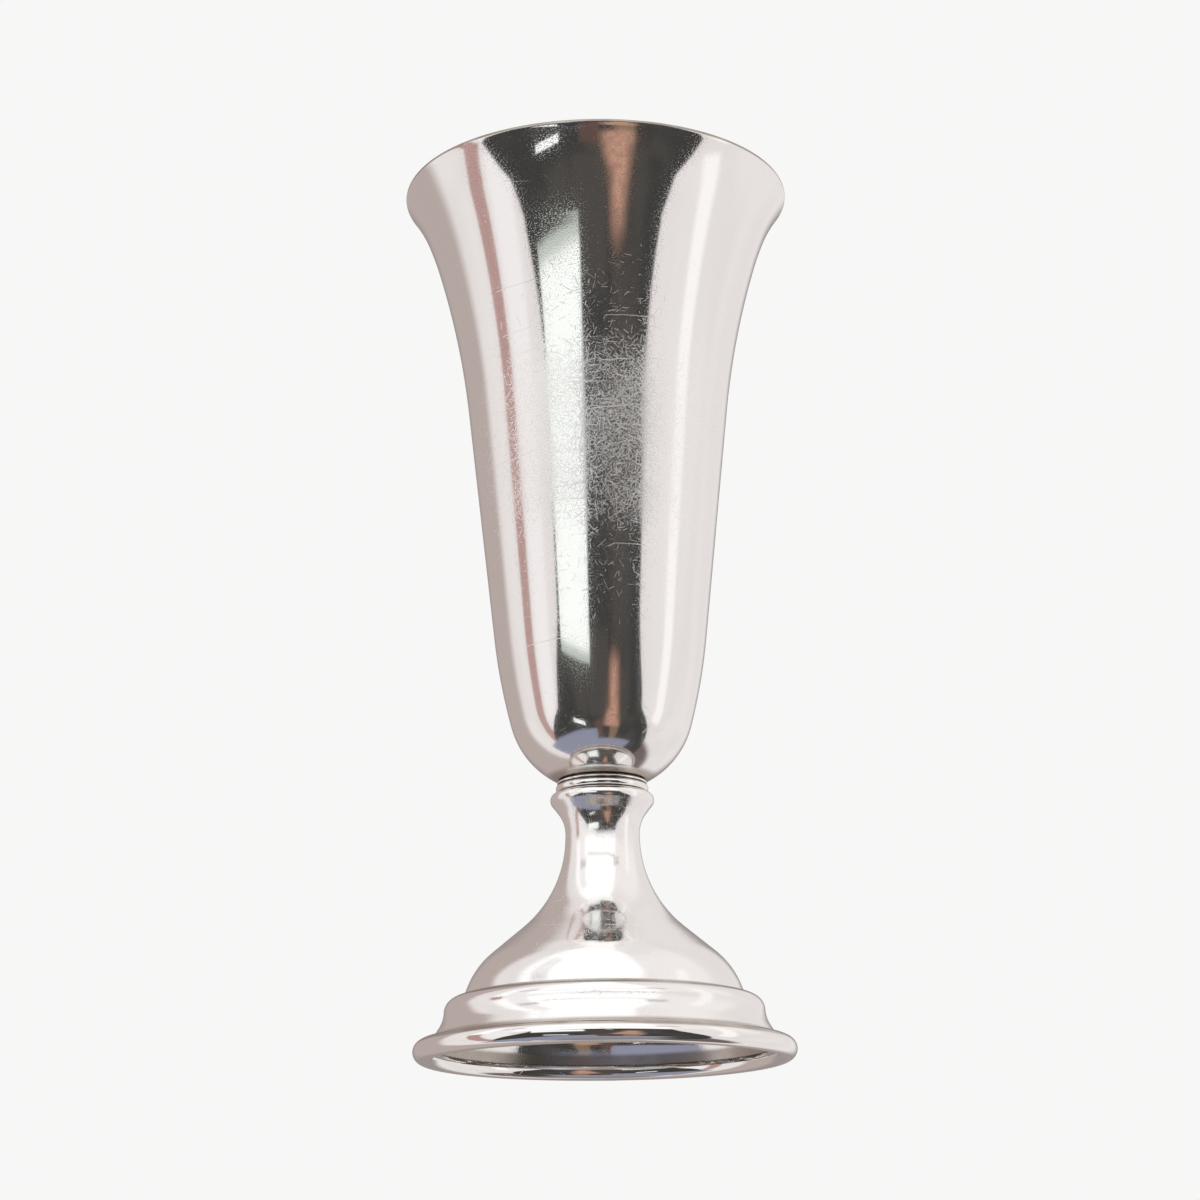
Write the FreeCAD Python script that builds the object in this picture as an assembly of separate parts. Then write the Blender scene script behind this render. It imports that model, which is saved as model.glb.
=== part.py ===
import FreeCAD, Part

import math
import os

# Pedestal bar jigger in polished silver, millimetres.
#
# A flared cup and a hollow stepped foot are each spun from one round blank of sheet.
# A turned collar joins the cup to the stem, and a round wire stiffens the foot's edge.
# Silver solder fills the three seams.  Every piece is round about +Z, the origin is
# on the axis in the plane that the jigger stands on, and the cup opens upwards.
#
# A spun piece is described by the middle line of its sheet: corners in the plane of
# radius and height, each with the radius that the sheet bends through at that corner.

# ---- driving dimensions ----------------------------------------------------------

overall_height = 100.0      # standing face to the top of the lip
rim_radius = 22.1           # outermost edge of the lip
stem_top_height = 29.3      # standing face to the flat top of the stem

# Cup
bowl_wall = 0.6             # sheet thickness
base_radius = 4.8           # flat bottom, to the corner where the sheet turns up
base_bend = 1.2
heel_radius = 8.7           # corner of the rounded bottom
heel_rise = 2.3             # above the middle of the flat bottom
heel_bend = 9.4
belly_radius = 11.0         # corner where the bottom runs into the long taper
belly_rise = 10.9
belly_bend = 68.0
flare_overhang = 6.45       # how far the lip stands out beyond the start of the flare
flare_drop = 17.7           # below the middle of the lip
flare_bend = 110.0
mouth_overhang = 2.55       # the same for the last, tighter flare
mouth_drop = 3.85
mouth_bend = 26.0

# Stem and foot
foot_wall = 0.6             # sheet thickness
fold_inside = 0.12          # inside radius of the sharpest folds
stem_bore = 3.0             # hole through the flat top of the stem
stem_lip_radius = 5.7       # outermost edge of the lip at the top of the stem
stem_lip_depth = 0.65       # height of the lip's edge, between its two folds
neck_radius = 3.77          # middle of the sheet at the waist of the stem
neck_drop = 2.75            # stem's top down to the upper bend of the waist
neck_top_bend = 4.2
sweep_rise = 8.35           # upper shoulder up to the lower bend of the waist
sweep_bend = 13.5
shoulder_inset = 5.65       # upper shoulder, inwards from the middle of the rim wire
shoulder_height = 9.9
shoulder_bend = 8.5
groove_inset = 4.5          # step between the two shoulders
groove_height = 6.75
step_inset = 2.5            # lower shoulder
step_height = 6.3
step_bend = 1.25
riser_inset = 2.4           # foot of the lower shoulder, where it splays outwards
riser_height = 4.3
riser_bend = 4.0

# Rim wire
wire_ring_radius = 19.45    # axis to the middle of the wire
wire_radius = 1.18
wire_wear = 0.03            # worn off the bottom, where the jigger stands
ledge_height = 1.45         # filed ledge that the edge of the foot stands on
edge_inset = 0.65           # edge of the foot, inwards from the middle of the wire
edge_clearance = 0.08       # between the edge of the foot and the side of its ledge

# Collar
main_bead_height = 0.9
main_bead_radius = 5.08
main_bead_depth = 0.46
thin_bead_height = 0.3
thin_bead_radius = 4.95
thin_bead_depth = 0.16

# Solder
seam = 0.1                  # thickness of each soldered seam
bowl_seam_radius = 4.4
stem_seam_radius = 4.5

# ---- derived places --------------------------------------------------------------

collar_bottom = stem_top_height + seam
collar_split = collar_bottom + main_bead_height
collar_top = collar_split + thin_bead_height
bowl_bottom = collar_top + seam
edge_radius = wire_ring_radius - edge_inset
edge_height = ledge_height + seam

# ---- spun sheet and turned rings ---------------------------------------------------

UP = FreeCAD.Vector(0, 0, 1)
CENTRE = FreeCAD.Vector(0, 0, 0)


def at(radius, height):
    """Point of a section, in the plane of radius and height."""
    return FreeCAD.Vector(radius, 0, height)


def along(heading):
    """Unit vector on a heading: 0 is straight up, a quarter turn is away from the axis."""
    return at(math.sin(heading), math.cos(heading))


def across(heading):
    """Unit vector square to a heading, away from the axis when the heading is up."""
    return at(math.cos(heading), -math.sin(heading))


def spin(edges):
    """Solid turned from the closed outline of one half of its section."""
    return Part.Face(Part.Wire(edges)).revolve(CENTRE, UP, 360)


def bent_path(corners):
    """Straight and bent stretches through corners of (radius, height, bend).

    A stretch is three stations of (point, heading): its start, middle and end.  A bend
    is held to what its two legs have room for.
    """
    points = [at(radius, height) for radius, height, bend in corners]
    legs = [after - before for before, after in zip(points, points[1:])]
    headings = [math.atan2(leg.x, leg.z) for leg in legs]
    turns = [math.remainder(after - before, math.tau)
             for before, after in zip(headings, headings[1:])]
    wanted = [0.0]
    wanted += [corner[2] * math.tan(abs(turn) / 2) for corner, turn in zip(corners[1:], turns)]
    wanted += [0.0]
    room = [min(1.0, leg.Length / max(first + second, 1e-9))
            for leg, first, second in zip(legs, wanted, wanted[1:])]

    stretches = []
    start = points[0]
    for corner, turn, before, after in zip(range(1, len(points)), turns, room, room[1:]):
        heading = headings[corner - 1]
        setback = wanted[corner] * min(before, after)
        bend_start = points[corner] - along(heading) * setback
        bend_end = points[corner] + along(heading + turn) * setback
        half_chord = (bend_end - bend_start).Length / 2
        middle = bend_start + along(heading + turn / 4) * (half_chord / math.cos(turn / 4))
        if (bend_start - start).Length > 1e-6:
            stretches.append([(start, heading), ((start + bend_start) / 2, heading),
                              (bend_start, heading)])
        stretches.append([(bend_start, heading), (middle, heading + turn / 2),
                          (bend_end, heading + turn)])
        start = bend_end
    if (points[-1] - start).Length > 1e-6:
        stretches.append([(start, headings[-1]), ((start + points[-1]) / 2, headings[-1]),
                          (points[-1], headings[-1])])
    return stretches


def face_line(stretches, offset):
    """Edges of one face of the sheet, at an offset from its middle line."""
    edges = []
    for stretch in stretches:
        first, middle, last = [point + across(heading) * offset for point, heading in stretch]
        if stretch[0][1] == stretch[2][1]:
            edges.append(Part.LineSegment(first, last).toShape())
        else:
            edges.append(Part.Arc(first, middle, last).toShape())
    return edges


def spun_sheet(corners, wall, rounded_end):
    """Round shell whose sheet follows the corners and ends in a rounded or square edge."""
    stretches = bent_path(corners)
    start, start_heading = stretches[0][0]
    end, end_heading = stretches[-1][2]
    half = wall / 2
    first_side = face_line(stretches, half)
    second_side = face_line(stretches, -half)
    end_first = end + across(end_heading) * half
    end_second = end - across(end_heading) * half
    if rounded_end:
        end_edge = Part.Arc(end_first, end + along(end_heading) * half, end_second).toShape()
    else:
        end_edge = Part.LineSegment(end_first, end_second).toShape()
    start_edge = Part.LineSegment(start - across(start_heading) * half,
                                  start + across(start_heading) * half).toShape()
    return spin(first_side + [end_edge] + second_side[::-1] + [start_edge])


def flat_ring(inner, outer, bottom, height):
    """Flat washer about the axis."""
    ring = Part.makeCylinder(outer, height, at(0, bottom))
    return ring.cut(Part.makeCylinder(inner, height, at(0, bottom)))


# ---- pieces ----------------------------------------------------------------------


def bowl():
    """Cup spun in one piece: flat seat, rounded bottom, long taper, flare, round lip."""
    half = bowl_wall / 2
    floor = bowl_bottom + half
    lip_radius = rim_radius - half
    lip_height = overall_height - half
    corners = [
        (0.0, floor, 0.0),
        (base_radius, floor, base_bend),
        (heel_radius, floor + heel_rise, heel_bend),
        (belly_radius, floor + belly_rise, belly_bend),
        (lip_radius - flare_overhang, lip_height - flare_drop, flare_bend),
        (lip_radius - mouth_overhang, lip_height - mouth_drop, mouth_bend),
        (lip_radius, lip_height, 0.0),
    ]
    return spun_sheet(corners, bowl_wall, rounded_end=True)


def collar_ring():
    """Turned ring with a main bead and a thin bead above it, bored like the stem."""
    bottom = collar_bottom
    outline = [
        Part.LineSegment(at(stem_bore, bottom), at(main_bead_radius - main_bead_depth, bottom)),
        Part.Arc(at(main_bead_radius - main_bead_depth, bottom),
                 at(main_bead_radius, (bottom + collar_split) / 2),
                 at(main_bead_radius - main_bead_depth, collar_split)),
        Part.LineSegment(at(main_bead_radius - main_bead_depth, collar_split),
                         at(thin_bead_radius - thin_bead_depth, collar_split)),
        Part.Arc(at(thin_bead_radius - thin_bead_depth, collar_split),
                 at(thin_bead_radius, (collar_split + collar_top) / 2),
                 at(thin_bead_radius - thin_bead_depth, collar_top)),
        Part.LineSegment(at(thin_bead_radius - thin_bead_depth, collar_top),
                         at(stem_bore, collar_top)),
        Part.LineSegment(at(stem_bore, collar_top), at(stem_bore, bottom)),
    ]
    return spin([curve.toShape() for curve in outline])


def foot_corners():
    """Middle line of the foot's sheet, from the hole in the stem's top down to its edge."""
    half = foot_wall / 2
    fold = half + fold_inside
    top = stem_top_height - half
    lip = stem_lip_radius - half
    return [
        (stem_bore, top, 0.0),
        (lip, top, fold),
        (lip, top - stem_lip_depth, fold),
        (neck_radius, top - neck_drop, neck_top_bend),
        (neck_radius, shoulder_height + sweep_rise, sweep_bend),
        (wire_ring_radius - shoulder_inset, shoulder_height, shoulder_bend),
        (wire_ring_radius - groove_inset, groove_height, fold),
        (wire_ring_radius - step_inset, step_height, step_bend),
        (wire_ring_radius - riser_inset, riser_height, riser_bend),
        (edge_radius, edge_height, 0.0),
    ]


def edge_half_width():
    """Half of the foot's level edge, which is wider than the sheet because that leans."""
    riser_radius = wire_ring_radius - riser_inset
    lean = math.atan2(edge_radius - riser_radius, riser_height - edge_height)
    return foot_wall / 2 / math.cos(lean)


def pedestal_foot():
    """Stem and stepped foot spun in one piece, open below, trimmed level at its edge."""
    corners = foot_corners()
    riser_radius, riser_z, bend = corners[-2]
    run_on = foot_wall / (riser_z - edge_height)
    end_radius = edge_radius + run_on * (edge_radius - riser_radius)
    corners[-1] = (end_radius, edge_height - foot_wall, 0.0)
    sheet = spun_sheet(corners, foot_wall, rounded_end=False)
    trim = Part.makeCylinder(2 * wire_ring_radius, edge_height + foot_wall, at(0, -foot_wall))
    return sheet.cut(trim)


def foot_rim_wire():
    """Round wire ring with a ledge for the edge of the foot and a worn standing face."""
    middle = wire_radius - wire_wear
    wire = Part.makeTorus(wire_ring_radius, wire_radius, at(0, middle), UP)
    worn_away = Part.makeCylinder(2 * wire_ring_radius, wire_radius, at(0, -wire_radius))
    ledge_radius = edge_radius + edge_half_width() + edge_clearance
    filed_away = Part.makeCylinder(ledge_radius, 2 * wire_radius, at(0, ledge_height))
    return wire.cut(worn_away).cut(filed_away)


def bowl_solder():
    """Solder between the cup's flat bottom and the collar."""
    return flat_ring(stem_bore, bowl_seam_radius, collar_top, seam)


def stem_solder():
    """Solder between the collar and the flat top of the stem."""
    return flat_ring(stem_bore, stem_seam_radius, stem_top_height, seam)


def rim_solder():
    """Solder between the edge of the foot and the ledge of the rim wire."""
    half = edge_half_width()
    return flat_ring(edge_radius - half, edge_radius + half, ledge_height, seam)


pieces = {
    "bowl": bowl(),
    "bowl_solder": bowl_solder(),
    "collar_ring": collar_ring(),
    "stem_solder": stem_solder(),
    "pedestal_foot": pedestal_foot(),
    "rim_solder": rim_solder(),
    "foot_rim_wire": foot_rim_wire(),
}

os.makedirs("parts", exist_ok=True)
for name, shape in pieces.items():
    solid = shape.Solids[0]
    solid.exportStep(os.path.join("parts", name + ".step"))
    box = solid.optimalBoundingBox(False, False)
    print(f"{name}: {len(shape.Solids)} solid, valid {solid.isValid()}, "
          f"volume {solid.Volume:.1f} mm3, height {box.ZMin:.2f} to {box.ZMax:.2f}, "
          f"radius {box.XMax:.2f}")
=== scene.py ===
import math

import bmesh
import bpy
from mathutils import Matrix, Vector


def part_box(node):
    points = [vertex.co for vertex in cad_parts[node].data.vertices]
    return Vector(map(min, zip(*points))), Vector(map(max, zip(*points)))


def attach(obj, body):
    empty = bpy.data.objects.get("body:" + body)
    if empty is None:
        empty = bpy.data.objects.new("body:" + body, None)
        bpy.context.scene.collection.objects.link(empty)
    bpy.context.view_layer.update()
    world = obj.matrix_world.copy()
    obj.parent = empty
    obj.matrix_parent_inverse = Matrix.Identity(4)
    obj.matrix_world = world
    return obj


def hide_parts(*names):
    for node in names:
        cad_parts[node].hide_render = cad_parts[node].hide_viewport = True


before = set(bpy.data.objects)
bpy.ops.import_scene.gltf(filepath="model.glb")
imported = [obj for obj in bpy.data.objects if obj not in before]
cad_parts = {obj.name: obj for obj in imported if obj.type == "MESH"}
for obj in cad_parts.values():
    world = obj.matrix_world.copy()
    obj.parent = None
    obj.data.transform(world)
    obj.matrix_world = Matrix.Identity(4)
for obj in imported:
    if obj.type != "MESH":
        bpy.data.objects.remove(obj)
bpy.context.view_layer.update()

# ==== Cup =============================================================================
# A flared cup spun in one piece from a round blank of sterling sheet: flat seat, rounded
# bottom, long taper, and a mouth that ends in a rounded lip.  Polished to a mirror outside,
# which years of handling have scratched, and left a little softer inside.

MM = 0.001

cup_low, cup_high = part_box("bowl")
cup_wall = 0.6 * MM
cup_seat = cup_low.z + cup_wall / 2                   # middle of the flat bottom
cup_lip_height = cup_high.z - cup_wall / 2
cup_lip_radius = cup_high.x - cup_wall / 2

# Middle line of the sheet: (radius, height, radius that the sheet bends through there).
cup_corners = [
    (0.0, cup_seat, 0.0),
    (4.8 * MM, cup_seat, 1.2 * MM),
    (8.7 * MM, cup_seat + 2.3 * MM, 9.3 * MM),
    (11.0 * MM, cup_seat + 10.9 * MM, 67.0 * MM),
    (cup_lip_radius - 6.45 * MM, cup_lip_height - 17.7 * MM, 100.0 * MM),
    (cup_lip_radius - 3.36 * MM, cup_lip_height - 6.7 * MM, 45.0 * MM),
    (cup_lip_radius - 1.63 * MM, cup_lip_height - 2.3 * MM, 20.0 * MM),
    (cup_lip_radius, cup_lip_height, 0.0),
]
cup_ripple = 0.012 * MM       # unevenness that the spinning tool leaves
cup_ripple_size = 14.0 * MM
turn_steps = 192              # facets round the axis, shaded smooth
pattern_radius = 13.0 * MM    # radius at which the sheet's own pattern is true to size
joining_distance = 0.0008 * MM    # points closer than this are one point
sharp_angle = math.radians(50.0)  # edges that turn more than this are shaded as a crease


def drawn_line(name, corners, closed):
    """Line through corners of (radius, height, bend), drawn in the plane of Y and Z."""
    line = bpy.data.curves.new(name, "CURVE")
    line.dimensions = "3D"
    spline = line.splines.new("POLY")
    spline.points.add(len(corners) - 1)
    for point, (radius, height, bend) in zip(spline.points, corners):
        point.co = (0.0, radius, height, 1.0)
        point.radius = bend
    spline.use_cyclic_u = closed
    drawn = bpy.data.objects.new(name, line)
    bpy.context.scene.collection.objects.link(drawn)
    return drawn


def add_node(tree, kind, inputs=None, **settings):
    """New node with its settings, and its inputs set to values or linked to other nodes."""
    made = tree.nodes.new(kind)
    for name, value in settings.items():
        setattr(made, name, value)
    for place, value in (inputs or {}).items():
        if isinstance(value, bpy.types.NodeSocket):
            tree.links.new(value, made.inputs[place])
        else:
            made.inputs[place].default_value = value
    return made


def maths(tree, operation, *values):
    """Result of one step of arithmetic on numbers or sockets."""
    return add_node(tree, "ShaderNodeMath", dict(enumerate(values)), operation=operation).outputs[0]


def new_turning_tree(name, sizes):
    """Empty tree that a drawn line goes into and a piece comes out of, and its inputs."""
    tree = bpy.data.node_groups.new(name, "GeometryNodeTree")
    tree.interface.new_socket("Line", in_out="INPUT", socket_type="NodeSocketGeometry")
    for label, kind in sizes.items():
        tree.interface.new_socket(label, in_out="INPUT", socket_type="NodeSocket" + kind)
    tree.interface.new_socket("Piece", in_out="OUTPUT", socket_type="NodeSocketGeometry")
    return tree, tree.nodes.new("NodeGroupInput").outputs


def bent_line(tree, given):
    """The drawn line with each corner bent to its radius and the long runs divided."""
    bend = add_node(tree, "GeometryNodeInputRadius").outputs[0]
    rounded = add_node(tree, "GeometryNodeFilletCurve",
                       {"Curve": given["Line"], "Count": given["Bend steps"],
                        "Radius": bend, "Limit Radius": True}, mode="POLY").outputs[0]
    count = add_node(tree, "GeometryNodeAttributeDomainSize", {"Geometry": rounded},
                     component="CURVE").outputs["Point Count"]
    here = add_node(tree, "GeometryNodeInputPosition").outputs[0]
    index = add_node(tree, "GeometryNodeInputIndex").outputs[0]
    following = maths(tree, "MODULO", maths(tree, "ADD", index, 1.0), count)
    there = add_node(tree, "GeometryNodeFieldAtIndex", {"Index": following},
                     data_type="FLOAT_VECTOR", domain="POINT")
    tree.links.new(here, there.inputs["Value"])
    run = add_node(tree, "ShaderNodeVectorMath", {0: here, 1: there.outputs[0]},
                   operation="DISTANCE").outputs["Value"]
    cuts = maths(tree, "FLOOR", maths(tree, "DIVIDE", run, given["Longest step"]))
    return add_node(tree, "GeometryNodeSubdivideCurve", {"Curve": rounded, "Cuts": cuts}).outputs[0]


def flat_net(tree, stations, turns):
    """Net to wrap round the axis, with the station and the angle of each of its points."""
    net = add_node(tree, "GeometryNodeMeshGrid",
                   {"Size X": 1.0, "Size Y": 1.0, "Vertices X": stations,
                    "Vertices Y": maths(tree, "ADD", turns, 1.0)}).outputs["Mesh"]
    spot = add_node(tree, "ShaderNodeSeparateXYZ",
                    {0: add_node(tree, "GeometryNodeInputPosition").outputs[0]}).outputs
    last = maths(tree, "SUBTRACT", stations, 1.0)
    station = maths(tree, "ROUND", maths(tree, "MULTIPLY", maths(tree, "ADD", spot[0], 0.5), last))
    angle = maths(tree, "MULTIPLY", maths(tree, "ADD", spot[1], 0.5), math.tau)
    return net, station, angle


def round_the_axis(tree, radius, height, angle):
    """Point at a radius and height, turned about the axis from the back."""
    across = maths(tree, "MULTIPLY", radius, maths(tree, "SINE", angle))
    along = maths(tree, "MULTIPLY", radius, maths(tree, "COSINE", angle))
    return add_node(tree, "ShaderNodeCombineXYZ", {0: across, 1: along, 2: height}).outputs[0]


def sampled(tree, line, value, index, kind):
    """What a field of the line says at one of the line's points."""
    taken = add_node(tree, "GeometryNodeSampleIndex", {"Geometry": line, "Index": index},
                     data_type=kind, domain="POINT")
    tree.links.new(value, taken.inputs["Value"])
    return taken.outputs[0]


def noted(tree, piece, name, value, kind, domain):
    """The piece with a value stored on it under a name."""
    note = add_node(tree, "GeometryNodeStoreNamedAttribute", {"Geometry": piece, "Name": name},
                    data_type=kind, domain=domain)
    tree.links.new(value, note.inputs["Value"])
    return note.outputs[0]


def close_and_finish(tree, given, net, places):
    """Wraps the net, joins its seam and poles, shades it and sends it out of the tree."""
    wrapped = add_node(tree, "GeometryNodeSetPosition",
                       {"Geometry": net, "Position": places}).outputs[0]
    joined = add_node(tree, "GeometryNodeMergeByDistance",
                      {"Geometry": wrapped, "Distance": joining_distance}).outputs[0]
    smooth = add_node(tree, "GeometryNodeSetShadeSmooth",
                      {"Geometry": joined, "Shade Smooth": True}, domain="FACE").outputs[0]
    turn = add_node(tree, "GeometryNodeInputMeshEdgeAngle").outputs["Unsigned Angle"]
    sharp = maths(tree, "GREATER_THAN", turn, given["Sharp angle"])
    creased = add_node(tree, "GeometryNodeSetShadeSmooth",
                       {"Geometry": smooth, "Selection": sharp, "Shade Smooth": False},
                       domain="EDGE").outputs[0]
    real = add_node(tree, "GeometryNodeRealizeInstances", {"Geometry": creased}).outputs[0]
    coated = add_node(tree, "GeometryNodeSetMaterial",
                      {"Geometry": real, "Material": given["Finish"]}).outputs[0]
    add_node(tree, "NodeGroupOutput", {"Piece": coated})


def spun_sheet_tree():
    """Round shell of sheet metal that follows a drawn middle line."""
    tree, given = new_turning_tree("spun_sheet", {
        "Wall": "Float", "Edge steps": "Int", "Round edge": "Float", "Starts off axis": "Int",
        "Bend steps": "Int", "Longest step": "Float", "Turns": "Int", "Sharp angle": "Float",
        "Ripple": "Float", "Ripple size": "Float", "Ripple seed": "Float",
        "Pattern radius": "Float", "Finish": "Material"})
    line = bent_line(tree, given)
    points = add_node(tree, "GeometryNodeAttributeDomainSize", {"Geometry": line},
                      component="CURVE").outputs["Point Count"]
    both_faces = maths(tree, "ADD", maths(tree, "MULTIPLY", points, 2.0), given["Edge steps"])
    stations = maths(tree, "ADD", both_faces, given["Starts off axis"])
    net, station, angle = flat_net(tree, stations, given["Turns"])

    # Up one face of the sheet, round its edge, back down the other, and closed if need be.
    step = maths(tree, "MODULO", station, both_faces)
    last_point = maths(tree, "SUBTRACT", points, 1.0)
    way_back = maths(tree, "SUBTRACT", maths(tree, "SUBTRACT", both_faces, 1.0), step)
    point = maths(tree, "MINIMUM", maths(tree, "MINIMUM", step, last_point), way_back)
    past_end = maths(tree, "DIVIDE", maths(tree, "SUBTRACT", step, last_point),
                     maths(tree, "ADD", given["Edge steps"], 1.0))
    side = add_node(tree, "ShaderNodeClamp", {0: past_end}).outputs[0]
    swing = maths(tree, "MULTIPLY", side, math.pi)
    half = maths(tree, "MULTIPLY", given["Wall"], 0.5)

    here = add_node(tree, "GeometryNodeInputPosition").outputs[0]
    heading = add_node(tree, "GeometryNodeInputTangent").outputs[0]
    length = add_node(tree, "GeometryNodeSplineParameter").outputs["Length"]
    middle = add_node(tree, "ShaderNodeSeparateXYZ",
                      {0: sampled(tree, line, here, point, "FLOAT_VECTOR")}).outputs
    ahead = add_node(tree, "ShaderNodeSeparateXYZ",
                     {0: sampled(tree, line, heading, point, "FLOAT_VECTOR")}).outputs
    run = sampled(tree, line, length, point, "FLOAT")

    on_middle = round_the_axis(tree, middle[1], middle[2], angle)
    uneven = add_node(tree, "ShaderNodeTexNoise",
                      {"Vector": on_middle, "W": given["Ripple seed"], "Detail": 1.0,
                       "Scale": maths(tree, "DIVIDE", 1.0, given["Ripple size"])},
                      noise_dimensions="4D").outputs[0]
    shift = maths(tree, "MULTIPLY", maths(tree, "SUBTRACT", uneven, 0.5), given["Ripple"])
    outwards = maths(tree, "ADD", maths(tree, "MULTIPLY", half, maths(tree, "COSINE", swing)),
                     shift)
    onwards = maths(tree, "MULTIPLY", maths(tree, "MULTIPLY", half, maths(tree, "SINE", swing)),
                    given["Round edge"])
    radius = maths(tree, "ADD", middle[1],
                   maths(tree, "ADD", maths(tree, "MULTIPLY", outwards, ahead[2]),
                         maths(tree, "MULTIPLY", onwards, ahead[1])))
    height = maths(tree, "ADD", middle[2],
                   maths(tree, "SUBTRACT", maths(tree, "MULTIPLY", onwards, ahead[2]),
                         maths(tree, "MULTIPLY", outwards, ahead[1])))
    places = round_the_axis(tree, maths(tree, "MAXIMUM", radius, 0.0), height, angle)

    around = maths(tree, "MULTIPLY", angle, given["Pattern radius"])
    unrolled = add_node(tree, "ShaderNodeCombineXYZ", {0: around, 1: run}).outputs[0]
    net = noted(tree, net, "unrolled", unrolled, "FLOAT2", "CORNER")
    net = noted(tree, net, "other_face", side, "FLOAT", "POINT")
    close_and_finish(tree, given, net, places)
    return tree


def made_piece(name, drawn, tree, sizes):
    """Plain mesh piece that a tree makes from a drawn line, with its faces outwards."""
    modifier = drawn.modifiers.new(tree.name, "NODES")
    modifier.node_group = tree
    for item in tree.interface.items_tree:
        if item.item_type == "SOCKET" and item.in_out == "INPUT" and item.name in sizes:
            modifier[item.identifier] = sizes[item.name]
    bpy.context.view_layer.update()
    evaluated = drawn.evaluated_get(bpy.context.evaluated_depsgraph_get())
    mesh = bpy.data.meshes.new_from_object(evaluated)
    bpy.data.objects.remove(drawn)
    mesh.name = name
    work = bmesh.new()
    work.from_mesh(mesh)
    bmesh.ops.recalc_face_normals(work, faces=work.faces)
    work.to_mesh(mesh)
    work.free()
    piece = bpy.data.objects.new(name, mesh)
    bpy.context.scene.collection.objects.link(piece)
    return piece


def new_finish(name, colour, roughness):
    """Bare metal finish, with its tree and shader to add detail to."""
    finish = bpy.data.materials.new(name)
    finish.use_nodes = True
    tree = finish.node_tree
    shader = tree.nodes["Principled BSDF"]
    shader.inputs["Base Color"].default_value = (*colour, 1.0)
    shader.inputs["Metallic"].default_value = 1.0
    shader.inputs["Roughness"].default_value = roughness
    return finish, tree, shader


def fade(tree, value, start, end):
    """0 before start and 1 after end, smooth between; start may be the larger of the two."""
    return add_node(tree, "ShaderNodeMapRange", {0: value, 1: start, 2: end},
                    interpolation_type="SMOOTHSTEP").outputs[0]


def band(tree, value, low, high, soft):
    """1 between low and high, fading to 0 over soft on both sides."""
    return maths(tree, "MULTIPLY", fade(tree, value, low - soft, low),
                 fade(tree, value, high + soft, high))


def mixed(tree, amount, first, second):
    """Number between two others."""
    return add_node(tree, "ShaderNodeMix", {0: amount, 2: first, 3: second}).outputs[0]


def mixed_colour(tree, amount, first, second):
    """Colour between two others."""
    colours = {0: amount}
    for place, colour in ((6, first), (7, second)):
        colours[place] = colour if isinstance(colour, bpy.types.NodeSocket) else (*colour, 1.0)
    return add_node(tree, "ShaderNodeMix", colours, data_type="RGBA").outputs[2]


def scratches(tree, place, cell, length, width, share, spread, tilt):
    """A straight scratch in a share of the cells of a random net, at angles within spread."""
    cells = add_node(tree, "ShaderNodeTexVoronoi", {"Vector": place, "Scale": 1.0 / cell},
                     voronoi_dimensions="2D").outputs
    chance = add_node(tree, "ShaderNodeSeparateColor", {0: cells["Color"]}).outputs
    from_middle = add_node(tree, "ShaderNodeVectorMath", {0: place, 1: cells["Position"]},
                           operation="SUBTRACT").outputs[0]
    lean = maths(tree, "MULTIPLY_ADD", maths(tree, "SUBTRACT", chance[0], 0.5), spread, tilt)
    turned = add_node(tree, "ShaderNodeVectorRotate", {"Vector": from_middle, "Angle": lean},
                      rotation_type="Z_AXIS").outputs[0]
    along = add_node(tree, "ShaderNodeSeparateXYZ", {0: turned}).outputs
    thin = fade(tree, maths(tree, "ABSOLUTE", along[1]), width / 2, width / 8)
    reach = mixed(tree, chance[2], length / 8, length / 2)
    short = fade(tree, maths(tree, "ABSOLUTE", along[0]), reach,
                 maths(tree, "MULTIPLY", reach, 0.6))
    depth = maths(tree, "MULTIPLY", maths(tree, "LESS_THAN", chance[1], share),
                  mixed(tree, chance[0], 0.25, 1.0))
    return maths(tree, "MULTIPLY", maths(tree, "MULTIPLY", thin, short), depth)


def wandering(tree, place, amount, size):
    """The same place pushed about a little, so that straight marks on it curve."""
    push = add_node(tree, "ShaderNodeTexNoise",
                    {"Vector": place, "Scale": 1.0 / size, "Detail": 1.0},
                    noise_dimensions="2D").outputs["Color"]
    centred = add_node(tree, "ShaderNodeVectorMath", {0: push, 1: (0.5, 0.5, 0.5)},
                       operation="SUBTRACT").outputs[0]
    scaled = add_node(tree, "ShaderNodeVectorMath", {0: centred, "Scale": amount},
                      operation="SCALE").outputs[0]
    return add_node(tree, "ShaderNodeVectorMath", {0: place, 1: scaled}, operation="ADD").outputs[0]


silver_colour = (0.960, 0.950, 0.935)
scratch_colour = (0.985, 0.980, 0.970)
dark_band_colour = (0.27, 0.21, 0.15)
scratched_roughness = 0.54
dark_band_roughness = 0.38
grip_edge = 10.5 * MM         # fingers rub within this much of the middle of the front
grip_core = 6.5 * MM          # and rub fully within this much
crowd_layers = 7              # layers of short scratches, each on a wider net than the last
crowd_net = 0.42              # millimetres that each scratch has to itself in the first layer
crowd_net_growth = 0.11
crowd_length = 1.7 * MM
crowd_width = 0.090 * MM
crowd_depth = 0.80            # against 1 for the single scratches
pit_net = 0.60 * MM
hairline_size = 0.15 * MM


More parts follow.
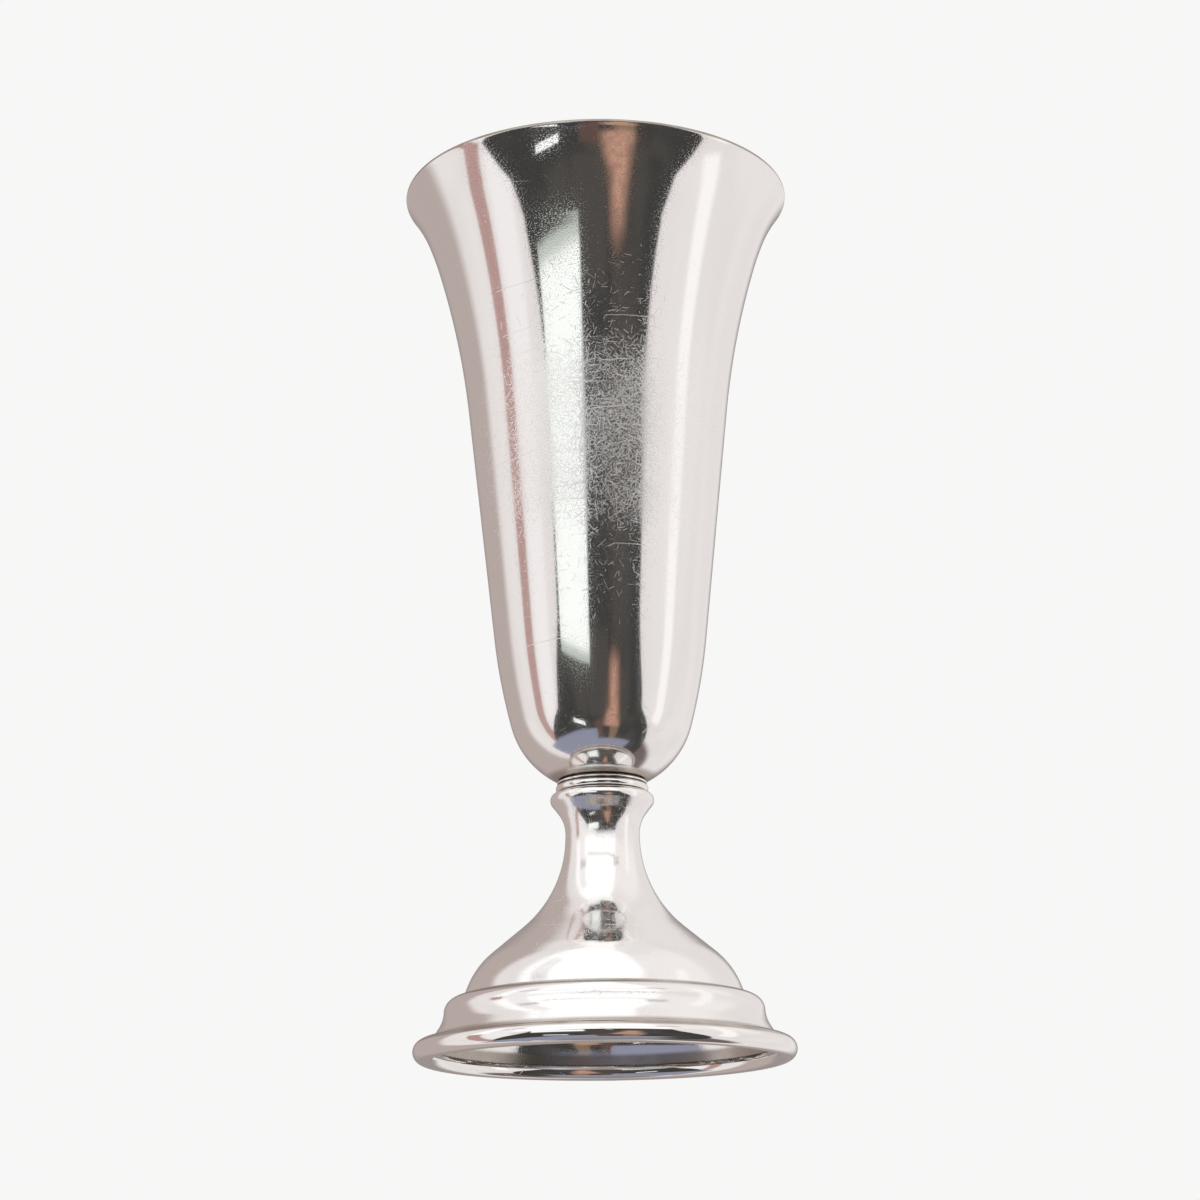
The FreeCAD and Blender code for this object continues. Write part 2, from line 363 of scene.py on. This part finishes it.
def handled_silver(name, worn_belts, dark_bands, inside_roughness):
    """Mirror-polished silver sheet with handling marks.

    worn_belts holds (low, high, soft, wear) and tarnished holds (low, high, soft, depth),
    all by height: wear and depth run from 0 to 1.  It wears where it is gripped, on the
    front and the back.
    """
    finish, tree, shader = new_finish(name, silver_colour, 0.03)
    place = add_node(tree, "ShaderNodeUVMap", uv_map="unrolled").outputs[0]
    body = add_node(tree, "ShaderNodeTexCoord").outputs["Object"]
    spot = add_node(tree, "ShaderNodeSeparateXYZ", {0: body}).outputs
    height = spot[2]
    inner = add_node(tree, "ShaderNodeAttribute", attribute_name="other_face").outputs["Fac"]

    patches = add_node(tree, "ShaderNodeTexNoise",
                       {"Vector": body, "Scale": 1.0 / (7.0 * MM), "Detail": 3.0}).outputs[0]
    worn = 0.0
    for low, high, soft, wear in worn_belts:
        belt = maths(tree, "MULTIPLY", band(tree, height, low, high, soft), wear)
        worn = maths(tree, "MAXIMUM", worn, belt)
    gripped = fade(tree, maths(tree, "ABSOLUTE", spot[0]), grip_edge, grip_core)
    worn = maths(tree, "MULTIPLY", worn, mixed(tree, gripped, 0.22, 1.0))
    rubbed = maths(tree, "MULTIPLY", worn, mixed(tree, fade(tree, patches, 0.35, 0.6), 0.55, 1.0))

    # Short scratches that crowd together where fingers rub, stray longer ones, a few arcs
    # that run round with the cup, small pits, and hairlines too fine to see one by one.
    curved = wandering(tree, place, 0.16 * MM, 0.9 * MM)
    crowd = 0.0
    for layer in range(crowd_layers):
        strokes = scratches(tree, curved, (crowd_net + crowd_net_growth * layer) * MM,
                            crowd_length, crowd_width,
                            maths(tree, "MULTIPLY", rubbed, 1.05), math.tau, layer)
        crowd = maths(tree, "MAXIMUM", crowd, strokes)
    crowd = maths(tree, "MULTIPLY", crowd, crowd_depth)
    stray = scratches(tree, curved, 2.1 * MM, 3.6 * MM, 0.085 * MM,
                      mixed(tree, worn, 0.06, 0.55), math.tau, 1.1)
    arcs = scratches(tree, curved, 5.0 * MM, 11.0 * MM, 0.130 * MM,
                     mixed(tree, worn, 0.06, 1.0), 0.30, 0.0)
    pits = add_node(tree, "ShaderNodeTexVoronoi",
                    {"Vector": place, "Scale": 1.0 / pit_net}, voronoi_dimensions="2D").outputs
    picked = add_node(tree, "ShaderNodeSeparateColor", {0: pits["Color"]}).outputs
    pit_reach = mixed(tree, picked[1], 0.10, 0.22)
    pit = maths(tree, "MULTIPLY", fade(tree, pits["Distance"], pit_reach, 0.04),
                maths(tree, "LESS_THAN", picked[2], mixed(tree, worn, 0.10, 0.45)))
    pit = maths(tree, "MULTIPLY", pit, mixed(tree, picked[0], 0.05, 0.65))
    hairlines = add_node(tree, "ShaderNodeTexNoise",
                         {"Vector": place, "Scale": 1.0 / hairline_size, "Detail": 2.0},
                         noise_dimensions="2D").outputs[0]
    faint = maths(tree, "MULTIPLY", fade(tree, hairlines, 0.54, 0.68),
                  mixed(tree, worn, 0.30, 0.45))
    marks = maths(tree, "MAXIMUM", maths(tree, "MAXIMUM", crowd, stray),
                  maths(tree, "MAXIMUM", arcs, maths(tree, "MAXIMUM", pit, faint)))

    # Rings that the spinning tool leaves, kept inside where the buff does not reach.
    ring_place = add_node(tree, "ShaderNodeSeparateXYZ", {0: place}).outputs[1]
    rings = add_node(tree, "ShaderNodeTexNoise",
                     {"W": ring_place, "Scale": 1.0 / (0.5 * MM), "Detail": 2.0},
                     noise_dimensions="1D").outputs[0]
    smears = add_node(tree, "ShaderNodeTexNoise",
                      {"Vector": body, "Scale": 1.0 / (5.0 * MM), "Detail": 4.0}).outputs[0]
    clean = mixed(tree, smears, 0.015, 0.055)
    hazed = maths(tree, "MULTIPLY_ADD", rubbed, 0.12, clean)
    base = mixed(tree, inner, hazed, maths(tree, "ADD", clean, inside_roughness))
    roughness = mixed(tree, marks, base, scratched_roughness)

    dull = 0.0
    for low, high, soft, depth in dark_bands:
        stripe = maths(tree, "MULTIPLY", band(tree, height, low, high, soft), depth)
        dull = maths(tree, "MAXIMUM", dull, stripe)
    dull = maths(tree, "MULTIPLY", dull, mixed(tree, smears, 0.4, 1.2))
    scuffed = mixed_colour(tree, marks, silver_colour, scratch_colour)
    colour = mixed_colour(tree, dull, scuffed, dark_band_colour)
    tree.links.new(colour, shader.inputs["Base Color"])
    tree.links.new(mixed(tree, dull, roughness, dark_band_roughness), shader.inputs["Roughness"])

    relief = maths(tree, "MULTIPLY_ADD", marks, -1.0,
                   maths(tree, "MULTIPLY", maths(tree, "MULTIPLY", rings, inner), 0.30))
    bump = add_node(tree, "ShaderNodeBump",
                    {"Strength": 0.35, "Distance": 0.010 * MM, "Height": relief})
    tree.links.new(bump.outputs[0], shader.inputs["Normal"])
    return finish


spun_sheet = spun_sheet_tree()
cup_silver = handled_silver(
    "cup_silver",
    worn_belts=[(60.5 * MM, 73.0 * MM, 7.0 * MM, 1.0), (54.0 * MM, 80.0 * MM, 10.0 * MM, 0.15)],
    dark_bands=[(cup_low.z, cup_low.z + 0.30 * MM, 0.55 * MM, 0.8),
               # The last band darkens the cup's lip to a thin brown line.
               (cup_high.z - 0.32 * MM, cup_high.z, 0.12 * MM, 0.95)],
    inside_roughness=0.07)
cup = made_piece("spun_cup", drawn_line("cup_middle_line", cup_corners, False), spun_sheet, {
    "Wall": cup_wall, "Edge steps": 9, "Round edge": 1.0, "Starts off axis": 0,
    "Bend steps": 26, "Longest step": 0.55 * MM, "Turns": turn_steps,
    "Sharp angle": sharp_angle, "Ripple": cup_ripple, "Ripple size": cup_ripple_size,
    "Ripple seed": 3.0, "Pattern radius": pattern_radius, "Finish": cup_silver})
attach(cup, "root")
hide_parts("bowl")

# ==== Solder between the cup and the collar ===========================================
# Silver solder run into the seam under the cup's flat seat.  It is a shade greyer and
# yellower than the sheet, and pulls in to a hollow edge where it cooled.


def turned_ring_tree():
    """Solid ring turned from a drawn closed outline."""
    tree, given = new_turning_tree("turned_ring", {
        "Bend steps": "Int", "Longest step": "Float", "Turns": "Int",
        "Sharp angle": "Float", "Pattern radius": "Float", "Finish": "Material"})
    line = bent_line(tree, given)
    points = add_node(tree, "GeometryNodeAttributeDomainSize", {"Geometry": line},
                      component="CURVE").outputs["Point Count"]
    net, station, angle = flat_net(tree, maths(tree, "ADD", points, 1.0), given["Turns"])
    point = maths(tree, "MODULO", station, points)
    here = add_node(tree, "GeometryNodeInputPosition").outputs[0]
    length = add_node(tree, "GeometryNodeSplineParameter").outputs["Length"]
    spot = add_node(tree, "ShaderNodeSeparateXYZ",
                    {0: sampled(tree, line, here, point, "FLOAT_VECTOR")}).outputs
    run = sampled(tree, line, length, point, "FLOAT")
    around = maths(tree, "MULTIPLY", angle, given["Pattern radius"])
    unrolled = add_node(tree, "ShaderNodeCombineXYZ", {0: around, 1: run}).outputs[0]
    net = noted(tree, net, "unrolled", unrolled, "FLOAT2", "CORNER")
    close_and_finish(tree, given, net, round_the_axis(tree, spot[1], spot[2], angle))
    return tree


def solder_finish(name):
    """Silver solder: slightly yellow and grey, lumpy and only half polished."""
    finish, tree, shader = new_finish(name, (0.80, 0.77, 0.68), 0.2)
    body = add_node(tree, "ShaderNodeTexCoord").outputs["Object"]
    lumps = add_node(tree, "ShaderNodeTexNoise",
                     {"Vector": body, "Scale": 1.0 / (0.8 * MM), "Detail": 4.0}).outputs[0]
    stain = fade(tree, lumps, 0.35, 0.7)
    tree.links.new(mixed_colour(tree, stain, (0.82, 0.79, 0.71), (0.46, 0.41, 0.32)),
                   shader.inputs["Base Color"])
    tree.links.new(mixed(tree, stain, 0.16, 0.36), shader.inputs["Roughness"])
    bump = add_node(tree, "ShaderNodeBump",
                    {"Strength": 0.5, "Distance": 0.02 * MM, "Height": lumps})
    tree.links.new(bump.outputs[0], shader.inputs["Normal"])
    return finish


turned_ring = turned_ring_tree()
solder = solder_finish("solder")
stem_bore = 3.0 * MM


def ring_piece(name, corners, finish, node, bend_steps=8):
    """Turned ring from its outline, in place of the CAD node it stands for."""
    ring = made_piece(name, drawn_line(name + "_outline", corners, True), turned_ring, {
        "Bend steps": bend_steps, "Longest step": 0.35 * MM, "Turns": turn_steps,
        "Sharp angle": sharp_angle, "Pattern radius": pattern_radius, "Finish": finish})
    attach(ring, "root")
    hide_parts(node)
    return ring


seam_low, seam_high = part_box("bowl_solder")
ring_piece("cup_seam_solder", [
    (stem_bore, seam_low.z, 0.0),
    (seam_high.x + 0.12 * MM, seam_low.z, 0.0),
    (seam_high.x, (seam_low.z + seam_high.z) / 2, 0.06 * MM),
    (seam_high.x + 0.08 * MM, seam_high.z, 0.0),
    (stem_bore, seam_high.z, 0.0),
], solder, "bowl_solder")

# ==== Collar ==========================================================================
# A ring turned from silver rod: a main bead, a fine groove and a thin bead on top of it.
# It is soldered between the cup and the stem, and tarnish stays dark in its grooves.

collar_low, collar_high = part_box("collar_ring")
thin_bead_height = 0.28 * MM
bead_groove = 0.05 * MM
main_bead_top = collar_high.z - thin_bead_height - bead_groove
groove_radius = 4.66 * MM
thin_bead_radius = 4.95 * MM


def turned_silver(name, grooves):
    """Bright turned silver with fine lathe lines, dark along the given groove heights."""
    finish, tree, shader = new_finish(name, silver_colour, 0.06)
    body = add_node(tree, "ShaderNodeTexCoord").outputs["Object"]
    height = add_node(tree, "ShaderNodeSeparateXYZ", {0: body}).outputs[2]
    lines = add_node(tree, "ShaderNodeTexNoise",
                     {"W": height, "Scale": 1.0 / (0.05 * MM), "Detail": 2.0},
                     noise_dimensions="1D").outputs[0]
    smears = add_node(tree, "ShaderNodeTexNoise",
                      {"Vector": body, "Scale": 1.0 / (2.0 * MM), "Detail": 3.0}).outputs[0]
    dull = 0.0
    for groove, reach in grooves:
        stripe = band(tree, height, groove - reach / 3, groove + reach / 3, reach)
        dull = maths(tree, "MAXIMUM", dull, stripe)
    dull = maths(tree, "MULTIPLY", dull, mixed(tree, smears, 0.55, 1.15))
    tree.links.new(mixed_colour(tree, dull, silver_colour, (0.22, 0.17, 0.12)),
                   shader.inputs["Base Color"])
    bright = mixed(tree, smears, 0.04, 0.12)
    tree.links.new(mixed(tree, dull, bright, 0.42), shader.inputs["Roughness"])
    bump = add_node(tree, "ShaderNodeBump",
                    {"Strength": 0.25, "Distance": 0.003 * MM, "Height": lines})
    tree.links.new(bump.outputs[0], shader.inputs["Normal"])
    return finish


collar_silver = turned_silver("collar_silver", [
    (collar_low.z, 0.10 * MM), (main_bead_top, 0.09 * MM), (collar_high.z, 0.08 * MM)])
ring_piece("turned_collar", [
    (stem_bore, collar_low.z, 0.05 * MM),
    (collar_high.x, collar_low.z, 0.42 * MM),
    (collar_high.x, main_bead_top, 0.42 * MM),
    (groove_radius, main_bead_top, 0.02 * MM),
    (groove_radius, main_bead_top + bead_groove, 0.02 * MM),
    (thin_bead_radius, main_bead_top + bead_groove, 0.13 * MM),
    (thin_bead_radius, collar_high.z, 0.13 * MM),
    (stem_bore, collar_high.z, 0.05 * MM),
], collar_silver, "collar_ring", bend_steps=12)

# ==== Solder between the collar and the stem ==========================================
# The same solder, in the seam between the collar and the flat top of the stem.

stem_seam_low, stem_seam_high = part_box("stem_solder")
ring_piece("stem_seam_solder", [
    (stem_bore, stem_seam_low.z, 0.0),
    (stem_seam_high.x + 0.14 * MM, stem_seam_low.z, 0.0),
    (stem_seam_high.x, (stem_seam_low.z + stem_seam_high.z) / 2, 0.06 * MM),
    (stem_seam_high.x + 0.08 * MM, stem_seam_high.z, 0.0),
    (stem_bore, stem_seam_high.z, 0.0),
], solder, "stem_solder")

# ==== Stem and foot ===================================================================
# One spun shell, hollow and open underneath: a flat top with a small lip, a waisted stem
# that sweeps out, and two domed shoulders with a sharp step between them.

foot_low, foot_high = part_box("pedestal_foot")
wire_low, wire_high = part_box("foot_rim_wire")
wire_radius = 1.18 * MM
wire_ring_radius = wire_high.x - wire_radius
foot_wall = 0.6 * MM
fold = foot_wall / 2 + 0.12 * MM
stem_top = foot_high.z - foot_wall / 2
stem_lip = 5.7 * MM - foot_wall / 2
neck_radius = 3.77 * MM
foot_edge_lift = 0.16 * MM    # the square edge is held this much off the wire's ledge
foot_corners = [
    (stem_bore, stem_top, 0.0),
    (stem_lip, stem_top, fold),
    (stem_lip, stem_top - 0.65 * MM, fold),
    (neck_radius, stem_top - 2.75 * MM, 4.2 * MM),
    (neck_radius, foot_low.z + 16.7 * MM, 13.5 * MM),
    (wire_ring_radius - 5.65 * MM, foot_low.z + 8.35 * MM, 8.4 * MM),
    (wire_ring_radius - 4.5 * MM, foot_low.z + 5.2 * MM, fold),
    (wire_ring_radius - 2.5 * MM, foot_low.z + 4.75 * MM, 1.2 * MM),
    (wire_ring_radius - 2.4 * MM, foot_low.z + 2.75 * MM, 3.9 * MM),
    (wire_ring_radius - 0.75 * MM, foot_low.z + foot_edge_lift, 0.0),
]

foot_silver = handled_silver(
    "foot_silver",
    worn_belts=[(8.0 * MM, 30.0 * MM, 6.0 * MM, 0.10)],
    dark_bands=[(foot_low.z, foot_low.z + 0.9 * MM, 0.5 * MM, 0.85),
               (foot_low.z + 5.00 * MM, foot_low.z + 5.32 * MM, 0.22 * MM, 0.95)],
    inside_roughness=0.05)
foot = made_piece("spun_foot", drawn_line("foot_middle_line", foot_corners, False), spun_sheet, {
    "Wall": foot_wall, "Edge steps": 3, "Round edge": 0.0, "Starts off axis": 1,
    "Bend steps": 14, "Longest step": 0.45 * MM, "Turns": turn_steps,
    "Sharp angle": sharp_angle, "Ripple": 0.020 * MM, "Ripple size": 7.0 * MM,
    "Ripple seed": 8.0, "Pattern radius": pattern_radius, "Finish": foot_silver})
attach(foot, "root")
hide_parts("pedestal_foot")

# ==== Solder at the rim of the foot ===================================================
# A fillet of solder that runs all round between the foot's edge and the rim wire.

rim_seam_low, rim_seam_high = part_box("rim_solder")
ledge_height = rim_seam_low.z
ledge_radius = rim_seam_high.x + 0.08 * MM
ring_piece("rim_seam_solder", [
    (rim_seam_high.x - 0.78 * MM, ledge_height, 0.0),
    (ledge_radius, ledge_height, 0.0),
    (ledge_radius, ledge_height + 0.55 * MM, 0.10 * MM),
    (rim_seam_high.x - 0.18 * MM, ledge_height + 0.62 * MM, 0.10 * MM),
    (rim_seam_high.x - 0.22 * MM, ledge_height + 0.12 * MM, 0.0),
    (rim_seam_high.x - 0.70 * MM, ledge_height + 0.12 * MM, 0.05 * MM),
], solder, "rim_solder")

# ==== Rim wire ========================================================================
# Round silver wire bent to a ring and soldered on to stiffen the foot.  A ledge is filed
# in it for the foot's edge, and it is worn flat and dull underneath, where it stands.

wire_middle = wire_high.z - wire_radius + 0.02 * MM
wire_facets = 40
above_the_wire = 2.6 * MM     # a height that the wire does not reach


def wire_outline():
    """Round section, cut level underneath and by the ledge on its inner, upper side."""
    bottom = math.asin((wire_low.z - wire_middle) / wire_radius)
    notch_top = math.acos((ledge_radius - wire_ring_radius) / wire_radius)
    ledge_end = math.pi - math.asin((ledge_height - wire_middle) / wire_radius)
    corners = []
    outer_arc = (bottom, notch_top, wire_facets)
    inner_arc = (ledge_end, math.pi - bottom, wire_facets // 2)
    for start, end, steps in (outer_arc, inner_arc):
        for step in range(steps + 1):
            angle = start + (end - start) * step / steps
            corners.append((wire_ring_radius + wire_radius * math.cos(angle),
                            wire_middle + wire_radius * math.sin(angle), 0.0))
        if start == bottom:
            corners.append((ledge_radius, ledge_height, 0.0))
    return corners


def wire_silver(name):
    """Polished wire with knocks along it, and a ground, scratched standing face."""
    finish, tree, shader = new_finish(name, silver_colour, 0.05)
    body = add_node(tree, "ShaderNodeTexCoord").outputs["Object"]
    height = add_node(tree, "ShaderNodeSeparateXYZ", {0: body}).outputs[2]
    place = add_node(tree, "ShaderNodeUVMap", uv_map="unrolled").outputs[0]
    smears = add_node(tree, "ShaderNodeTexNoise",
                      {"Vector": body, "Scale": 1.0 / (4.0 * MM), "Detail": 4.0}).outputs[0]
    standing = fade(tree, height, 0.10 * MM, 0.0)
    ground = scratches(tree, place, 0.5 * MM, 0.9 * MM, 0.08 * MM, 0.9, math.tau, 0.3)
    knocks = scratches(tree, place, 1.6 * MM, 1.4 * MM, 0.09 * MM, 0.35, math.tau, 0.0)
    marks = maths(tree, "MAXIMUM", knocks, maths(tree, "MULTIPLY", standing, ground))
    clean = mixed(tree, smears, 0.02, 0.08)
    roughness = mixed(tree, marks, mixed(tree, standing, clean, 0.3), 0.5)
    tree.links.new(roughness, shader.inputs["Roughness"])
    by_the_seam = band(tree, height, ledge_height + 0.45 * MM, above_the_wire, 0.25 * MM)
    dull = maths(tree, "MULTIPLY", by_the_seam, mixed(tree, smears, 0.3, 1.0))
    tree.links.new(mixed_colour(tree, dull, silver_colour, dark_band_colour),
                   shader.inputs["Base Color"])
    bump = add_node(tree, "ShaderNodeBump",
                    {"Strength": 0.4, "Distance": 0.012 * MM,
                     "Height": maths(tree, "MULTIPLY_ADD", marks, -1.0, smears)})
    tree.links.new(bump.outputs[0], shader.inputs["Normal"])
    return finish


ring_piece("rim_wire", wire_outline(), wire_silver("wire_silver"), "foot_rim_wire")

# ==== Floor ===========================================================================
# A plain pale surface that the jigger stands on.  It is seen from above only, so the low
# main camera looks through it, and it fades out into the plain background before it ends.

floor_colour = (0.85, 0.86, 0.865)
floor_reach = 1.6
floor_fade_start = 0.25
floor_fade_end = 0.9 * floor_reach
floor_mesh = bpy.data.meshes.new("floor")
floor_mesh.from_pydata([(-floor_reach, -floor_reach, 0), (floor_reach, -floor_reach, 0),
                        (floor_reach, floor_reach, 0), (-floor_reach, floor_reach, 0)],
                       [], [(0, 1, 2, 3)])
floor = bpy.data.objects.new("floor", floor_mesh)
bpy.context.scene.collection.objects.link(floor)
floor_finish = bpy.data.materials.new("pale_floor")
floor_finish.use_nodes = True
tree = floor_finish.node_tree
paint = tree.nodes["Principled BSDF"]
paint.inputs["Base Color"].default_value = (*floor_colour, 1.0)
paint.inputs["Roughness"].default_value = 0.7
paint.inputs["Specular IOR Level"].default_value = 0.2
spot = add_node(tree, "ShaderNodeTexCoord").outputs["Object"]
away = add_node(tree, "ShaderNodeVectorMath", {0: spot}, operation="LENGTH").outputs["Value"]
faded = fade(tree, away, floor_fade_start, floor_fade_end)
under = add_node(tree, "ShaderNodeNewGeometry").outputs["Backfacing"]
hidden = maths(tree, "MAXIMUM", faded, under)
clear = add_node(tree, "ShaderNodeBsdfTransparent")
shown = add_node(tree, "ShaderNodeMixShader", {0: hidden, 1: paint.outputs[0], 2: clear.outputs[0]})
tree.links.new(shown.outputs[0], tree.nodes["Material Output"].inputs["Surface"])
floor_mesh.materials.append(floor_finish)
floor.visible_glossy = False
floor.visible_shadow = False

# ==== Light ===========================================================================
# A white light tent, open at the front on to a dim room with a window, a lamp, some wood
# and a bluish cloth below.  Polished silver shows only what stands round it, so the tent
# gives it its look.  The camera itself sees a plain pale background in place of the tent.

background_colour = (0.93, 0.93, 0.925)
tent_side = (0.785, 0.745, 0.738)
tent_front = (1.10, 1.09, 1.09)
tent_fold = (0.62, 0.56, 0.545)
tent_pole = (0.46, 0.29, 0.27)
warm_card = (0.47, 0.395, 0.375)
back_card = (0.330, 0.290, 0.280)
under_room = (0.155, 0.122, 0.118)
under_cloth = (0.25, 0.235, 0.245)
dim_room = (0.048, 0.047, 0.045)
room_glow = (0.074, 0.068, 0.063)
blue_cloth = (0.270, 0.280, 0.365)
warm_wood = (0.57, 0.320, 0.230)
dark_wood = (0.115, 0.072, 0.060)
pale_olive = (0.240, 0.165, 0.110)
pale_wood = (0.40, 0.235, 0.175)
window_light = (1.02, 1.05, 1.03)
window_haze = (0.54, 0.60, 0.54)
tent_side_bright = (0.92, 0.885, 0.875)
tent_right_bright = (0.90, 0.86, 0.85)
tent_left_bright = (0.90, 0.87, 0.875)
tent_strip_bright = (1.0, 0.97, 0.96)
tent_seam = (0.66, 0.63, 0.62)
opening_rounding = 24.0       # degrees over which an opening's sides bend at the horizon

# A soft lamp high on the left lights the floor and gives the jigger its shadow there.
lamp = bpy.data.lights.new("shadow_lamp", "AREA")
lamp_place = (-0.28, -0.22, 0.62)
lamp.energy = 2.2
lamp.size = 0.16
hung = bpy.data.objects.new("shadow_lamp", lamp)
hung.location = lamp_place
hung.rotation_euler = Vector(lamp_place).to_track_quat("Z", "Y").to_euler()
hung.visible_glossy = False
bpy.context.scene.collection.objects.link(hung)

world = bpy.data.worlds.new("light_tent")
bpy.context.scene.world = world
world.use_nodes = True
room = world.node_tree
direct = add_node(room, "ShaderNodeTexCoord").outputs["Generated"]
towards = add_node(room, "ShaderNodeSeparateXYZ", {0: direct}).outputs
folds = add_node(room, "ShaderNodeTexNoise",
                 {"Vector": direct, "Scale": 2.6, "Detail": 1.0}).outputs
sway = add_node(room, "ShaderNodeSeparateColor", {0: folds["Color"]}).outputs
cloth_sway = 4.0              # degrees that the tent's cloth and edges wander
facing = maths(room, "DEGREES", maths(room, "ARCTAN2", towards[0],
                                      maths(room, "MULTIPLY", towards[1], -1.0)))
level = maths(room, "DEGREES", maths(room, "ARCSINE", towards[2]))
facing = maths(room, "MULTIPLY_ADD", maths(room, "SUBTRACT", sway[0], 0.5), cloth_sway, facing)
level = maths(room, "MULTIPLY_ADD", maths(room, "SUBTRACT", sway[1], 0.5), cloth_sway, level)


def panel(shade, colour, sides, levels, soft, slant=0.0):
    """The shade with a panel over it, between two bearings and two levels in degrees.

    A slanted panel's levels rise by slant degrees for each degree to the right.
    """
    off_middle = maths(room, "SUBTRACT", facing, sum(sides) / 2)
    straight = maths(room, "MULTIPLY_ADD", off_middle, -slant, level)
    cover = maths(room, "MULTIPLY", band(room, facing, *sides, soft),
                  band(room, straight, *levels, soft))
    return mixed_colour(room, cover, shade, colour)


def opening(shade, colour, left, right, spread, levels, soft):
    """An opening that grows wider below the horizon, by spread degrees for each degree."""
    wider = maths(room, "MULTIPLY", maths(room, "SMOOTH_MIN", level, 0.0, opening_rounding), spread)
    beyond_left = fade(room, maths(room, "SUBTRACT", facing, wider), left - soft, left + soft)
    beyond_right = fade(room, maths(room, "ADD", facing, wider), right + soft, right - soft)
    cover = maths(room, "MULTIPLY", maths(room, "MULTIPLY", beyond_left, beyond_right),
                  band(room, level, *levels, soft))
    return mixed_colour(room, cover, shade, colour)


def back_panel(shade, colour, half_width, soft, levels, level_soft):
    """A card straight behind, which fades towards its two sides."""
    turned_away = fade(room, maths(room, "ABSOLUTE", facing), 180.0 - half_width - soft,
                       180.0 - half_width)
    cover = maths(room, "MULTIPLY", turned_away, band(room, level, *levels, level_soft))
    return mixed_colour(room, cover, shade, colour)


def hung_panels(shade, panels):
    """The shade with a row of panels over it, the later ones in front of the earlier."""
    for colour, sides, levels, soft, slant in panels:
        shade = panel(shade, colour, sides, levels, soft, slant)
    return shade


# The tent's own cloth, its folds, seam and pole, and the cards that stand behind.
shade = mixed_colour(room, maths(room, "MULTIPLY", fade(room, folds["Fac"], 0.35, 0.65), 0.30),
                     tent_side, tent_side_bright)
shade = hung_panels(shade, [
    (tent_front, (-80.0, 36.0), (20.0, 95.0), 12.0, 0.0),
    (tent_right_bright, (50.0, 104.0), (26.0, 58.0), 14.0, 0.0),
    (tent_left_bright, (-72.0, -60.0), (-30.0, 60.0), 5.0, 0.0),
    (tent_seam, (-48.0, 38.0), (32.8, 33.6), 1.2, 0.03),
    (tent_fold, (-70.0, -55.0), (36.0, 41.0), 2.5, 0.10),
    (tent_fold, (35.0, 50.0), (36.0, 41.0), 2.5, -0.10),
    (tent_strip_bright, (76.0, 82.0), (-22.0, 40.0), 5.0, 0.0),
    (tent_pole, (-87.0, -79.0), (-45.0, 14.0), 2.5, 0.0),
    (warm_card, (-185.0, -120.0), (-62.0, 54.0), 12.0, 0.0),
])
shade = back_panel(shade, back_card, 10.0, 18.0, (-60.0, 30.0), 14.0)
shade = panel(shade, under_room, (52.0, 142.0), (-72.0, -50.0), 8.0)
shade = mixed_colour(room, fade(room, level, -66.0, -76.0), shade, under_cloth)

# The dim room that shows through the opening, with a slight glow in its depth.
shade = opening(shade, dim_room, -44.0, 40.0, 0.95, (-66.0, 12.5), 1.5)
depth = mixed_colour(room, fade(room, folds["Fac"], 0.40, 0.70), dim_room, room_glow)
shade = opening(shade, depth, -38.0, 32.0, 0.80, (-62.0, 8.0), 5.0)
shade = panel(shade, room_glow, (-13.0, 5.0), (-26.0, -2.0), 4.0)

# Wood to the right of its middle, and the cloth, the window and the lamp.
grain = add_node(room, "ShaderNodeTexNoise",
                 {"Vector": direct, "Scale": 14.0, "Detail": 3.0}).outputs[0]
wood = mixed_colour(room, fade(room, grain, 0.35, 0.65), pale_wood, warm_wood)
shade = hung_panels(shade, [
    (dark_wood, (-9.0, 1.0), (-60.0, -37.0), 3.5, 0.0),
    (pale_olive, (16.0, 25.0), (-58.0, -37.0), 4.0, 0.0),
])
shade = opening(shade, wood, 13.0, 18.0, 0.19, (-39.0, -8.5), 5.0)
shade = hung_panels(shade, [
    (blue_cloth, (-98.0, -9.0), (-72.0, -46.0), 4.0, -0.05),
    (blue_cloth, (-12.0, 60.0), (-74.0, -60.0), 4.0, 0.06),
    (window_haze, (-43.0, -13.5), (-5.8, 10.5), 1.5, -0.13),
    (window_light, (-42.5, -14.0), (-3.0, 10.5), 2.5, -0.13),
    (window_light, (-39.0, -25.0), (-36.5, -32.0), 1.5, -0.50),
])

seen_direct = add_node(room, "ShaderNodeLightPath").outputs["Is Camera Ray"]
shade = mixed_colour(room, seen_direct, shade, background_colour)
room.links.new(shade, room.nodes["Background"].inputs["Color"])

# ==== Camera ==========================================================================
# Close by and a little lower than the foot, looking up at the cup.

camera = bpy.data.cameras.new("camera")
camera.sensor_width = 36.0
camera.lens = 81.1
camera.clip_start = 0.01
camera.clip_end = 50.0
camera_distance = 292.3 * MM  # in front of the axis
camera_height = -30.35 * MM
view_tilt = 0.273
view_roll = -0.011
ahead = Vector((0.0, math.cos(view_tilt), math.sin(view_tilt)))
level_right = Vector((1.0, 0.0, 0.0))
level_up = level_right.cross(ahead)
right = level_right * math.cos(view_roll) + level_up * math.sin(view_roll)
upwards = level_up * math.cos(view_roll) - level_right * math.sin(view_roll)
stand = bpy.data.objects.new("camera", camera)
stand.matrix_world = Matrix((
    (right.x, upwards.x, -ahead.x, 0.0),
    (right.y, upwards.y, -ahead.y, -camera_distance),
    (right.z, upwards.z, -ahead.z, camera_height),
    (0.0, 0.0, 0.0, 1.0)))
bpy.context.scene.collection.objects.link(stand)
bpy.context.scene.camera = stand
bpy.context.scene.view_settings.view_transform = "Standard"
